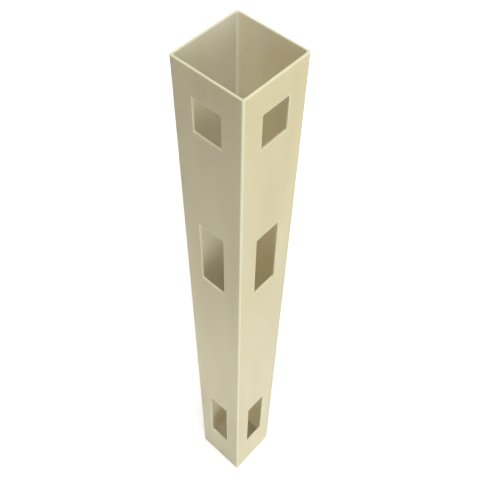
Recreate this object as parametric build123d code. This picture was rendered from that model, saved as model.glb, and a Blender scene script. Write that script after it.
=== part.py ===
from build123d import *
import os

# Corner post of a vinyl fence: one hollow square extrusion, open at both ends, with three rail
# openings in each of two neighbouring walls. Millimetres. The foot stands on Z = 0, the post's
# long axis is +Z, and the openings are in the walls that face -Y and +X.

# Section of the extrusion
post_width = 127.0
wall = 3.4
outer_corner_radius = 3.2
inner_corner_radius = 3.5

# Rails that slide in through the openings, and the play left all round each rail
rail_width = 50.8
bottom_rail_height = 210.0
middle_rail_height = 158.0
top_rail_height = 61.0
rail_clearance = 0.6

# Corner left by the cutter in each opening, and the break on every cut edge
opening_corner_radius = 1.6
edge_break = 0.4

# Plain stretches of wall, from the foot upwards
foot_to_bottom_opening = 145.0
bottom_to_middle_opening = 540.4
middle_to_top_opening = 205.8
top_opening_to_end = 47.8

# Turns that carry a cut made in the -Y wall to each wall that has openings: -Y itself, then +X
holed_wall_turns = [0.0, 90.0]

# Sizes that follow from the ones above
bore_width = post_width - 2 * wall
opening_width = rail_width + 2 * rail_clearance


def opening_levels():
    """Sill height and clear height of each opening, from the foot upwards."""
    plain_stretches = [foot_to_bottom_opening, bottom_to_middle_opening, middle_to_top_opening]
    rail_heights = [bottom_rail_height, middle_rail_height, top_rail_height]
    levels = []
    height_reached = 0.0
    for plain_stretch, rail_height in zip(plain_stretches, rail_heights):
        sill = height_reached + plain_stretch
        clear_height = rail_height + 2 * rail_clearance
        levels.append((sill, clear_height))
        height_reached = sill + clear_height
    return levels


def post_height():
    """Full length of the post: the head of the top opening and the plain wall above it."""
    top_sill, top_clear_height = opening_levels()[-1]
    return top_sill + top_clear_height + top_opening_to_end


def extruded_tube():
    """The square tube, cut square at both ends, with the cut edges broken."""
    outside = RectangleRounded(post_width, post_width, outer_corner_radius)
    bore = RectangleRounded(bore_width, bore_width, inner_corner_radius)
    tube = extrude(outside - bore, amount=post_height())
    end_edges = tube.edges().group_by(Axis.Z)[0] + tube.edges().group_by(Axis.Z)[-1]
    return chamfer(end_edges, edge_break)


def opening_cutter(sill, clear_height):
    """Block that passes through the -Y wall, flared where it meets the wall's two faces."""
    outer_face = -post_width / 2
    middle_height = sill + clear_height / 2
    through = Plane(origin=(0, outer_face, middle_height), x_dir=(1, 0, 0), z_dir=(0, 1, 0))
    throat = RectangleRounded(opening_width, clear_height, opening_corner_radius)
    mouth = offset(throat, edge_break)
    outer_flare = extrude(through * mouth, amount=edge_break, taper=45)
    inner_flare = extrude(through.offset(wall) * mouth, amount=-edge_break, taper=45)
    return extrude(through * throat, amount=wall) + outer_flare + inner_flare


def corner_post():
    """The finished post: the tube with its openings cut at matching heights in both walls."""
    post = extruded_tube()
    for turn in holed_wall_turns:
        for sill, clear_height in opening_levels():
            post -= Rot(0, 0, turn) * opening_cutter(sill, clear_height)
    return post


post = corner_post()
post.label = "corner_post"

os.makedirs("parts", exist_ok=True)
export_step(post, "parts/corner_post.step")
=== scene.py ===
"""Dresses the vinyl corner fence post and stands it on a white studio floor.

The frame's origin lies on the post's axis at its foot, with Z up the post. The two walls that are cut
for rails face +X and -Y, and the photograph was taken from above the corner between them.
"""

import logging
import math
from dataclasses import dataclass, field
from enum import Enum

import bpy
from mathutils import Matrix, Vector

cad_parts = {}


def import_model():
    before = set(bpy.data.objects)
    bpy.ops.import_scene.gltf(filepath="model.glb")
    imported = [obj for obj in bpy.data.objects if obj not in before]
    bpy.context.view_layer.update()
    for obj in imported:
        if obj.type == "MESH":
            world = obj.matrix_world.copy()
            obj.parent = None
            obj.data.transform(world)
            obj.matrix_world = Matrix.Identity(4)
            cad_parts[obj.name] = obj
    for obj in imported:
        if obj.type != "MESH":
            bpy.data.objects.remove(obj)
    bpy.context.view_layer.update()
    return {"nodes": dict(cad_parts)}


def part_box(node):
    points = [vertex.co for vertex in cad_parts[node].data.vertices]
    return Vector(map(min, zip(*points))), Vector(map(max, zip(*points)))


MM = 0.001
NODE = "corner_post"
LOG = logging.getLogger(NODE)

# Noise of this kind seldom leaves this span, so a blend between two finishes is spread over it.
NOISE_LOW, NOISE_HIGH = 0.35, 0.65


def linear(hex_colour: str) -> tuple[float, float, float, float]:
    """Turns an sRGB hex colour into the linear colour that a shader takes.

    Args:
        hex_colour: six hex digits after a hash, such as "#d8cfae".

    Returns:
        Linear red, green and blue, with an alpha of one.
    """
    channels = [int(hex_colour[start:start + 2], 16) / 255 for start in (1, 3, 5)]
    red, green, blue = (
        value / 12.92 if value <= 0.04045 else ((value + 0.055) / 1.055) ** 2.4
        for value in channels
    )
    return (red, green, blue, 1.0)


def add_node(
    tree: bpy.types.NodeTree,
    kind: str,
    settings: dict[str, object] | None = None,
    inputs: dict[str | int, object] | None = None,
) -> bpy.types.Node:
    """Adds one shader node with its settings, values and links.

    Args:
        tree: node tree that the node goes into.
        kind: Blender's name for the kind of node.
        settings: the node's own properties by name.
        inputs: socket name or number to a value, to the output socket that feeds it, or to a node
            whose first output feeds it.

    Returns:
        The new node.
    """
    node = tree.nodes.new(kind)
    for name, value in (settings or {}).items():
        setattr(node, name, value)
    for socket, value in (inputs or {}).items():
        if isinstance(value, bpy.types.Node):
            value = value.outputs[0]
        if isinstance(value, bpy.types.NodeSocket):
            tree.links.new(value, node.inputs[socket])
        else:
            node.inputs[socket].default_value = value
    return node


def new_material(name: str) -> tuple[bpy.types.Material, bpy.types.NodeTree, bpy.types.NodeSocket]:
    """Starts a material with an empty node tree.

    Args:
        name: the material's name.

    Returns:
        The material, its node tree, and the socket that gives a point's place in metres.
    """
    material = bpy.data.materials.new(name)
    material.use_nodes = True
    tree = material.node_tree
    tree.nodes.clear()
    return material, tree, add_node(tree, "ShaderNodeTexCoord").outputs["Object"]


def passing_light(depth: float) -> dict[str | int, object]:
    """Says how far light passes into the vinyl, where red goes the furthest and blue the least.

    Args:
        depth: distance that red light passes, in metres.

    Returns:
        Values for the shader's sockets.
    """
    return {"Subsurface Weight": 1.0, "Subsurface Radius": (1.0, 0.92, 0.8), "Subsurface Scale": depth}


def seen_or_mirrored(tree: bpy.types.NodeTree) -> bpy.types.Node:
    """Tells the rays that show a surface from those that light other things with it.

    Args:
        tree: node tree of a material or of the world.

    Returns:
        A node that gives one for the camera, for gloss and for what is seen through glass, and
        nothing for other rays.
    """
    path = add_node(tree, "ShaderNodeLightPath").outputs
    direct = add_node(tree, "ShaderNodeMath", {"operation": "MAXIMUM"}, {
        0: path["Is Camera Ray"], 1: path["Is Glossy Ray"]})
    return add_node(tree, "ShaderNodeMath", {"operation": "MAXIMUM"}, {
        0: direct, 1: path["Is Transmission Ray"]})


class Finish(Enum):
    """The finishes of the post, by the number of the material slot that each one takes."""

    OUTER_SKIN = 0
    INNER_SKIN = 1
    SAWN_END = 2
    ROUTED_ALONG_X = 3
    ROUTED_ALONG_Y = 4


@dataclass(frozen=True)
class Opening:
    """One height at which both holed walls are cut through for a rail."""

    sill: float
    clear_height: float


@dataclass(frozen=True)
class CutMargins:
    """The margin that a saw and a router bruise on the outer skin along every cut edge.

    Rigid PVC whitens where it is bruised, so each opening and each end has a fine pale outline.
    """

    openings: tuple[Opening, ...]
    opening_half_width: float
    head: float

    # A real margin is a few tenths of a millimetre wide, which is too fine to show.
    width: float = 1.2 * MM

    def whiten(
        self,
        tree: bpy.types.NodeTree,
        place: bpy.types.NodeSocket,
        colour: bpy.types.NodeSocket,
        pale: str,
    ) -> bpy.types.NodeSocket:
        """Makes the skin paler along the openings and along both ends.

        Args:
            tree: the material's node tree.
            place: the socket that gives a point's place on the post.
            colour: the socket that gives the colour elsewhere.
            pale: the colour of the margins.

        Returns:
            The socket that gives the colour everywhere.
        """
        fade_start, fade_end = 0.5 * self.width, 1.5 * self.width
        margin = add_node(tree, "ShaderNodeMapRange", {"interpolation_type": "SMOOTHSTEP"}, {
            "Value": self.distance_from_cuts(tree, place),
            "From Min": fade_start, "From Max": fade_end, "To Min": 1.0, "To Max": 0.0})
        mixed = add_node(tree, "ShaderNodeMix", {"data_type": "RGBA"}, {
            "Factor": margin, "A": colour, "B": linear(pale)})
        return mixed.outputs["Result"]

    def distance_from_cuts(
        self, tree: bpy.types.NodeTree, place: bpy.types.NodeSocket
    ) -> bpy.types.Node:
        """Measures from a point of the outer skin to the nearest end or opening.

        Args:
            tree: the material's node tree.
            place: the socket that gives a point's place on the post.

        Returns:
            The node that gives the distance in metres.
        """
        reach = add_node(tree, "ShaderNodeVectorMath", {"operation": "ABSOLUTE"}, {0: place})
        x, y, z = add_node(tree, "ShaderNodeSeparateXYZ", inputs={0: reach}).outputs
        to_head = add_node(tree, "ShaderNodeMath", {"operation": "SUBTRACT"}, {0: self.head, 1: z})
        nearest = add_node(tree, "ShaderNodeMath", {"operation": "MINIMUM"}, {0: z, 1: to_head})

        across = add_node(tree, "ShaderNodeMath", {"operation": "MINIMUM"}, {0: x, 1: y})
        beside = add_node(tree, "ShaderNodeMath", {"operation": "SUBTRACT"}, {
            0: across, 1: self.opening_half_width})

        # On the two plain walls, which face -X and +Y, X is less than Y. A metre is added there, so
        # that no opening is near.
        facing = add_node(tree, "ShaderNodeVectorMath", {"operation": "DOT_PRODUCT"}, {
            0: place, 1: (1.0, -1.0, 0.0)})
        plain = add_node(tree, "ShaderNodeMath", {"operation": "LESS_THAN"}, {
            0: facing.outputs["Value"], 1: 0.0})
        beside = add_node(tree, "ShaderNodeMath", {"operation": "ADD"}, {0: beside, 1: plain})

        for opening in self.openings:
            half_height = opening.clear_height / 2
            rise = add_node(tree, "ShaderNodeMath", {"operation": "SUBTRACT"}, {
                0: z, 1: opening.sill + half_height})
            rise = add_node(tree, "ShaderNodeMath", {"operation": "ABSOLUTE"}, {0: rise})
            above = add_node(tree, "ShaderNodeMath", {"operation": "SUBTRACT"}, {0: rise, 1: half_height})
            to_edge = add_node(tree, "ShaderNodeMath", {"operation": "MAXIMUM"}, {0: beside, 1: above})
            nearest = add_node(tree, "ShaderNodeMath", {"operation": "MINIMUM"}, {0: nearest, 1: to_edge})
        return nearest


@dataclass(frozen=True)
class DrawnVinyl:
    """Rigid PVC drawn through a die: satin, with faint lines and slow waves along the draw.

    The die polishes the surface, so it takes a soft sheen that stretches along the post. Rigid PVC
    passes a little light, which evens out the shade inside the hollow and softens every edge. The
    corners are painted paler as a highlight.
    """

    name: str
    colour: str
    streak_and_sheen_colour: str
    # Paler colour painted along the corners as a highlight; on the outer skin it also colours the bruised
    # cut margins.
    corner_highlight_and_margin_colour: str
    half_width: float
    corner_radius: float
    roughness: float
    roughness_spread: float = 0.04
    gloss: float = 0.5
    ior: float = 1.53
    light_depth: float = 3 * MM

    # Real die lines lie a few tenths of a millimetre apart and wouldn't show, so these are wider.
    die_line_spacing: float = 1.6 * MM
    die_line_length: float = 900 * MM
    die_line_height: float = 0.008 * MM

    # The waves have this share in the skin's change of colour, partly as a painted sheen, and the die
    # lines have the rest.
    wave_share: float = 0.8
    wave_width: float = 55 * MM
    wave_length: float = 420 * MM
    wave_height: float = 0.12 * MM

    # Past the flat, the painted corner highlight reaches full strength within this share of the corner's
    # radius.
    highlight_share_of_corner: float = 0.3
    cut_margins: CutMargins | None = None

    def material(self) -> bpy.types.Material:
        """Makes the finish of a drawn skin.

        Returns:
            The new material.
        """
        material, tree, place = new_material(self.name)

        # The die leaves lines that run the whole length of the post, close together round its girth.
        across, along = 1 / self.die_line_spacing, 1 / self.die_line_length
        drawn = add_node(tree, "ShaderNodeMapping", inputs={
            "Vector": place, "Scale": (across, across, along)})
        lines = add_node(tree, "ShaderNodeTexNoise", inputs={
            "Vector": drawn, "Scale": 1.0, "Detail": 3.0, "Roughness": 0.6})

        # Uneven cooling leaves slow, shallow waves that only a low gloss shows.
        across, along = 1 / self.wave_width, 1 / self.wave_length
        slow = add_node(tree, "ShaderNodeMapping", inputs={
            "Vector": place, "Scale": (across, across, along)})
        waves = add_node(tree, "ShaderNodeTexNoise", inputs={
            "Vector": slow, "Scale": 1.0, "Detail": 1.0, "Roughness": 0.4})

        # Tone drifts along the die lines and in slow bands with the waves; the slow bands are partly a
        # painted sheen.
        streak_and_sheen_tone = add_node(tree, "ShaderNodeMix", {"data_type": "FLOAT"}, {
            "Factor": self.wave_share, "A": lines, "B": waves})
        blend = add_node(tree, "ShaderNodeMapRange", inputs={
            "Value": streak_and_sheen_tone.outputs["Result"], "From Min": NOISE_LOW, "From Max": NOISE_HIGH})
        skin = add_node(tree, "ShaderNodeMix", {"data_type": "RGBA"}, {
            "Factor": blend, "A": linear(self.colour), "B": linear(self.streak_and_sheen_colour)})
        # The corners are painted paler as a highlight.
        colour = self.paint_corner_highlight(tree, place, skin.outputs["Result"])
        if self.cut_margins:
            colour = self.cut_margins.whiten(tree, place, colour, self.corner_highlight_and_margin_colour)
        roughness = add_node(tree, "ShaderNodeMapRange", inputs={
            "Value": lines, "From Min": 0.3, "From Max": 0.7,
            "To Min": self.roughness - self.roughness_spread,
            "To Max": self.roughness + self.roughness_spread})

        rolled = add_node(tree, "ShaderNodeBump", inputs={
            "Height": waves, "Strength": 1.0, "Distance": self.wave_height})
        lined = add_node(tree, "ShaderNodeBump", inputs={
            "Height": lines, "Strength": 1.0, "Distance": self.die_line_height, "Normal": rolled})
        shader = add_node(tree, "ShaderNodeBsdfPrincipled", inputs={
            "Base Color": colour, "Roughness": roughness, "IOR": self.ior,
            "Specular IOR Level": self.gloss, "Normal": lined, **passing_light(self.light_depth)})
        add_node(tree, "ShaderNodeOutputMaterial", inputs={"Surface": shader})
        return material

    def paint_corner_highlight(
        self, tree: bpy.types.NodeTree, place: bpy.types.NodeSocket, colour: bpy.types.NodeSocket
    ) -> bpy.types.NodeSocket:
        """Paints a highlight along the skin's corners by colouring them paler, where the rounded corners
        catch the light.

        Args:
            tree: the material's node tree.
            place: the socket that gives a point's place on the post.
            colour: the socket that gives the colour elsewhere.

        Returns:
            The socket that gives the colour everywhere.
        """
        reach = add_node(tree, "ShaderNodeVectorMath", {"operation": "ABSOLUTE"}, {0: place})
        x, y, _ = add_node(tree, "ShaderNodeSeparateXYZ", inputs={0: reach}).outputs
        across = add_node(tree, "ShaderNodeMath", {"operation": "MINIMUM"}, {0: x, 1: y})
        end_of_flat = self.half_width - self.corner_radius
        highlight_weight = add_node(tree, "ShaderNodeMapRange", {"interpolation_type": "SMOOTHSTEP"}, {
            "Value": across, "From Min": end_of_flat,
            "From Max": end_of_flat + self.highlight_share_of_corner * self.corner_radius})
        mixed = add_node(tree, "ShaderNodeMix", {"data_type": "RGBA"}, {
            "Factor": highlight_weight, "A": colour, "B": linear(self.corner_highlight_and_margin_colour)})
        return mixed.outputs["Result"]


@dataclass(frozen=True)
class CutVinyl:
    """Rigid PVC laid bare by a cutter: paler and duller than the skin, so every cut reads as a line.

    A saw blade leaves arcs about its own centre, and a router bit leaves bars across its feed. The
    cutter also tears a fine grain, whose pits are a little darker.
    """

    name: str
    feed: tuple[float, float, float] | None = None
    blade_centre: tuple[float, float, float] | None = None
    colour: str = "#fff6d3"
    colour_of_grain: str = "#f8edc6"
    roughness: float = 0.52
    ior: float = 1.53
    light_depth: float = 1 * MM

    # The real ripple and grain are a few tenths of a millimetre wide and wouldn't show.
    ripple_spacing: float = 1.5 * MM
    grain_width: float = 0.8 * MM
    ripple_height: float = 0.01 * MM

    def material(self) -> bpy.types.Material:
        """Makes the finish of a sawn or routed face.

        Returns:
            The new material.
        """
        material, tree, place = new_material(self.name)
        if self.blade_centre:
            operation, guide = "DISTANCE", self.blade_centre
        else:
            operation, guide = "DOT_PRODUCT", self.feed
        travel = add_node(tree, "ShaderNodeVectorMath", {"operation": operation}, {0: place, 1: guide})
        phase = add_node(tree, "ShaderNodeMath", {"operation": "MULTIPLY"}, {
            0: travel.outputs["Value"], 1: 2 * math.pi / self.ripple_spacing})
        ripple = add_node(tree, "ShaderNodeMath", {"operation": "SINE"}, {0: phase})
        grain = add_node(tree, "ShaderNodeTexNoise", inputs={
            "Vector": place, "Scale": 1 / self.grain_width, "Detail": 2.0})
        height = add_node(tree, "ShaderNodeMath", {"operation": "ADD"}, {0: ripple, 1: grain})
        bump = add_node(tree, "ShaderNodeBump", inputs={
            "Height": height, "Strength": 1.0, "Distance": self.ripple_height})
        torn = add_node(tree, "ShaderNodeMapRange", inputs={
            "Value": grain, "From Min": NOISE_LOW, "From Max": NOISE_HIGH})
        bare = add_node(tree, "ShaderNodeMix", {"data_type": "RGBA"}, {
            "Factor": torn, "A": linear(self.colour), "B": linear(self.colour_of_grain)})
        shader = add_node(tree, "ShaderNodeBsdfPrincipled", inputs={
            "Base Color": bare.outputs["Result"], "Roughness": self.roughness, "IOR": self.ior,
            "Normal": bump, **passing_light(self.light_depth)})
        add_node(tree, "ShaderNodeOutputMaterial", inputs={"Surface": shader})
        return material


@dataclass
class CornerPost:
    """The post: one extruded tube whose skins, sawn ends and routed openings are finished apart."""

    wall: float = 3.4 * MM
    outer_radius: float = 3.2 * MM
    inner_radius: float = 3.5 * MM
    edge_break: float = 0.4 * MM
    opening_half_width: float = 26.0 * MM
    openings: tuple[Opening, ...] = (
        Opening(sill=145.0 * MM, clear_height=211.2 * MM),
        Opening(sill=896.6 * MM, clear_height=159.2 * MM),
        Opening(sill=1261.6 * MM, clear_height=62.2 * MM),
    )
    blade_radius: float = 150 * MM
    solid: bpy.types.Object = field(init=False)

    def build(self, nodes: dict[str, bpy.types.Object]) -> None:
        """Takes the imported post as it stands.

        Args:
            nodes: the frame's objects by node name.
        """
        self.solid = nodes[NODE]

    def dress(self) -> None:
        """Gives the two skins, the sawn ends and the routed reveals their own finishes."""
        low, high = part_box(NODE)
        finishes = self.finishes(low, high)
        mesh = self.solid.data
        mesh.materials.clear()
        for slot in Finish:
            mesh.materials.append(finishes[slot].material())
        for face in mesh.polygons:
            face.material_index = self.finish_of(face, low.z, high).value

    def finishes(self, low: Vector, high: Vector) -> dict[Finish, DrawnVinyl | CutVinyl]:
        """Sets out what each part of the post's surface is made of.

        Args:
            low: the low corner of the post's box.
            high: the high corner of the post's box.

        Returns:
            The finish for each material slot.
        """
        # Handling and weather dull the outer skin, so it mirrors less than the inner one.
        outer_skin = DrawnVinyl(
            "drawn_vinyl_outer_skin", colour="#e6dcb0", streak_and_sheen_colour="#dfd5a6",
            # The paler colour at the corners is a painted highlight, and also the colour of the bruised
            # margins.
            corner_highlight_and_margin_colour="#fff7d4", half_width=high.x, corner_radius=self.outer_radius,
            roughness=0.32, gloss=0.3,
            cut_margins=CutMargins(self.openings, self.opening_half_width, high.z))

        # The core holds less pigment, so light from outside the plain walls glows inside the hollow.
        inner_skin = DrawnVinyl(
            "drawn_vinyl_inner_skin", colour="#efe4ca", streak_and_sheen_colour="#e4d8b9",
            # The paler colour at the inner corners is a painted highlight.
            corner_highlight_and_margin_colour="#fff4dc", half_width=high.x - self.wall,
            corner_radius=self.inner_radius, roughness=0.36, light_depth=14 * MM,
            die_line_height=0.002 * MM, wave_share=0.95, wave_width=60 * MM,
            wave_length=1500 * MM, wave_height=0.2 * MM)

        # The saw comes in from the -X side, so its arcs are struck about a point beyond that wall.
        blade_centre = (low.x - self.blade_radius, 0.0, 0.0)
        return {
            Finish.OUTER_SKIN: outer_skin,
            Finish.INNER_SKIN: inner_skin,
            Finish.SAWN_END: CutVinyl("sawn_vinyl", blade_centre=blade_centre),
            Finish.ROUTED_ALONG_X: CutVinyl("routed_vinyl_along_x", feed=(1.0, 0.0, 1.0)),
            Finish.ROUTED_ALONG_Y: CutVinyl("routed_vinyl_along_y", feed=(0.0, 1.0, 1.0)),
        }

    def finish_of(self, face: bpy.types.MeshPolygon, foot: float, high: Vector) -> Finish:
        """Tells which finish a face of the post takes.

        Args:
            face: one face of the post's mesh.
            foot: height of the lower end.
            high: the high corner of the post's box.

        Returns:
            The face's finish.
        """
        upright = abs(face.normal.z) <= 0.1
        broken_edge = 2 * self.edge_break
        near_end = min(face.center.z - foot, high.z - face.center.z) < broken_edge
        if near_end and not upright:
            return Finish.SAWN_END
        x, y = abs(face.center.x), abs(face.center.y)
        hair = 0.01 * MM
        inner_face = high.x - self.wall + hair
        in_opening = min(x, y) < self.opening_half_width + broken_edge
        if in_opening and inner_face < max(x, y) < high.x - hair:
            return Finish.ROUTED_ALONG_X if y > x else Finish.ROUTED_ALONG_Y
        return Finish.INNER_SKIN if max(x, y) < inner_face else Finish.OUTER_SKIN


@dataclass(frozen=True)
class StudioFloor:
    """A floor in matt white paint, which shows as pure white where it is lit and keeps the shadow."""

    half_size: float = 30.0
    drop: float = 0.05 * MM
    colour: str = "#e8e8e8"
    shade_colour_inside: str = "#cfc5a6"
    lift_near: float = 0.46
    lift_far: float = 1.0
    near_radius: float = 0.5
    far_radius: float = 2.5

    def build(self) -> None:
        """Lays the floor just under the post's foot."""
        mesh = bpy.data.meshes.new("floor")
        reach = self.half_size
        outline = [(-reach, -reach, 0.0), (reach, -reach, 0.0), (reach, reach, 0.0), (-reach, reach, 0.0)]
        mesh.from_pydata(outline, [], [(0, 1, 2, 3)])
        floor = bpy.data.objects.new("floor", mesh)
        bpy.context.scene.collection.objects.link(floor)
        floor.location.z = -self.drop
        mesh.materials.append(self.material())

    def material(self) -> bpy.types.Material:
        """Makes the floor's paint.

        Returns:
            The new material.
        """
        material, tree, place = new_material("matt_white_paint")

        # No white ground is to show in the lowest openings, so inside the post's outline the floor is
        # painted a warm shade like the vinyl's, standing in for the shade and bounce light in the hollow,
        # and isn't lifted there.
        reach = add_node(tree, "ShaderNodeVectorMath", {"operation": "ABSOLUTE"}, {0: place})
        x, y, _ = add_node(tree, "ShaderNodeSeparateXYZ", inputs={0: reach}).outputs
        farther = add_node(tree, "ShaderNodeMath", {"operation": "MAXIMUM"}, {0: x, 1: y})
        outside = add_node(tree, "ShaderNodeMath", {"operation": "GREATER_THAN"}, {
            0: farther, 1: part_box(NODE)[1].x})
        tone = add_node(tree, "ShaderNodeMix", {"data_type": "RGBA"}, {
            "Factor": outside, "A": linear(self.shade_colour_inside), "B": linear(self.colour)})
        paint = add_node(tree, "ShaderNodeBsdfDiffuse", inputs={"Color": tone.outputs["Result"]})

        # The lamps leave the far floor dimmer, so it is lifted more there than round the post.
        distance = add_node(tree, "ShaderNodeVectorMath", {"operation": "LENGTH"}, {0: place})
        lift = add_node(tree, "ShaderNodeMapRange", inputs={
            "Value": distance.outputs["Value"], "From Min": self.near_radius,
            "From Max": self.far_radius, "To Min": self.lift_near, "To Max": self.lift_far})
        shown = add_node(tree, "ShaderNodeMath", {"operation": "MULTIPLY"}, {
            0: seen_or_mirrored(tree), 1: outside})
        strength = add_node(tree, "ShaderNodeMath", {"operation": "MULTIPLY"}, {0: shown, 1: lift})
        glow = add_node(tree, "ShaderNodeEmission", inputs={
            "Color": (1.0, 1.0, 1.0, 1.0), "Strength": strength})
        both = add_node(tree, "ShaderNodeAddShader", inputs={0: paint, 1: glow})
        add_node(tree, "ShaderNodeOutputMaterial", inputs={"Surface": both})
        return material


@dataclass(frozen=True)
class SoftBox:
    """A square soft lamp that hangs at an azimuth and elevation about a point on the post's axis."""

    name: str
    azimuth: float
    elevation: float
    distance: float
    side: float
    power: float
    aim_height: float = 0.69

    def build(self) -> None:
        """Hangs the lamp and turns it to the post."""
        turn, rise = math.radians(self.azimuth), math.radians(self.elevation)
        away = Vector((math.cos(turn) * math.cos(rise), math.sin(turn) * math.cos(rise), math.sin(rise)))
        lamp = bpy.data.lights.new(self.name, "AREA")
        lamp.shape = "SQUARE"
        lamp.size = self.side
        lamp.energy = self.power
        holder = bpy.data.objects.new(self.name, lamp)
        holder.location = Vector((0.0, 0.0, self.aim_height)) + away * self.distance
        holder.rotation_mode = "QUATERNION"
        holder.rotation_quaternion = away.to_track_quat("Z", "Y")
        bpy.context.scene.collection.objects.link(holder)


@dataclass(frozen=True)
class Studio:
    """The room round the post: soft lamps, a white sky and the floor."""

    # The narrow overhead lamp lights the rims and hardly the inner walls, which get their light
    # from the back lamp, through the plain walls. The low fill brightens the -Y wall toward its foot.
    lamps: tuple[SoftBox, ...] = (
        SoftBox("overhead", azimuth=0.0, elevation=89.0, distance=10.0, side=1.0, power=400.0),
        SoftBox("back", azimuth=122.0, elevation=8.0, distance=10.0, side=5.0, power=500.0),
        SoftBox("key", azimuth=-8.0, elevation=4.0, distance=10.0, side=12.0, power=1260.0),
        SoftBox("fill_above", azimuth=-60.0, elevation=72.0, distance=10.0, side=4.0, power=140.0),
        SoftBox("fill_low", azimuth=-105.0, elevation=0.0, distance=0.6, side=0.5, power=0.78,
                aim_height=0.58),
    )

    def build(self) -> None:
        """Builds the floor, hangs the lamps and sets the sky."""
        StudioFloor().build()
        for lamp in self.lamps:
            lamp.build()
        self.build_sky()

    def build_sky(self) -> None:
        """Makes a world that shows as white behind the floor and lights nothing."""
        world = bpy.data.worlds.new("sky")
        bpy.context.scene.world = world
        world.use_nodes = True
        tree = world.node_tree
        tree.nodes.clear()
        glow = add_node(tree, "ShaderNodeBackground", inputs={
            "Color": (1.0, 1.0, 1.0, 1.0), "Strength": seen_or_mirrored(tree)})
        add_node(tree, "ShaderNodeOutputWorld", inputs={"Surface": glow})


@dataclass(frozen=True)
class PhotoCamera:
    """The camera that took the photograph, as fitted to the post's corners in it."""

    position: tuple[float, float, float] = (0.4586, -0.5067, 1.9168)
    yaw: float = 41.87
    pitch_down: float = 54.11
    roll: float = 0.88
    focal_pixels: float = 675.2
    frame_pixels: float = 480.0
    sensor_mm: float = 36.0

    def build(self) -> None:
        """Places the camera and makes it the scene's own."""
        data = bpy.data.cameras.new("photo_camera")
        data.sensor_width = self.sensor_mm
        data.lens = self.focal_pixels / self.frame_pixels * self.sensor_mm
        camera = bpy.data.objects.new("photo_camera", data)
        turn = (
            Matrix.Rotation(math.radians(self.yaw), 4, "Z")
            @ Matrix.Rotation(math.radians(90 - self.pitch_down), 4, "X")
            @ Matrix.Rotation(math.radians(self.roll), 4, "Z")
        )
        camera.matrix_world = Matrix.Translation(self.position) @ turn
        bpy.context.scene.collection.objects.link(camera)
        bpy.context.scene.camera = camera


def main() -> None:
    """Loads the frame, then builds the camera, the studio and the post."""
    logging.basicConfig(level=logging.INFO, format="%(name)s: %(message)s")
    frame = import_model()
    bpy.context.scene.view_settings.view_transform = "Standard"

    PhotoCamera().build()
    LOG.info("camera placed")
    Studio().build()
    LOG.info("studio lit")
    post = CornerPost()
    post.build(frame["nodes"])
    post.dress()
    LOG.info("post dressed in %d finishes", len(post.solid.data.materials))


if __name__ == "__main__":
    main()
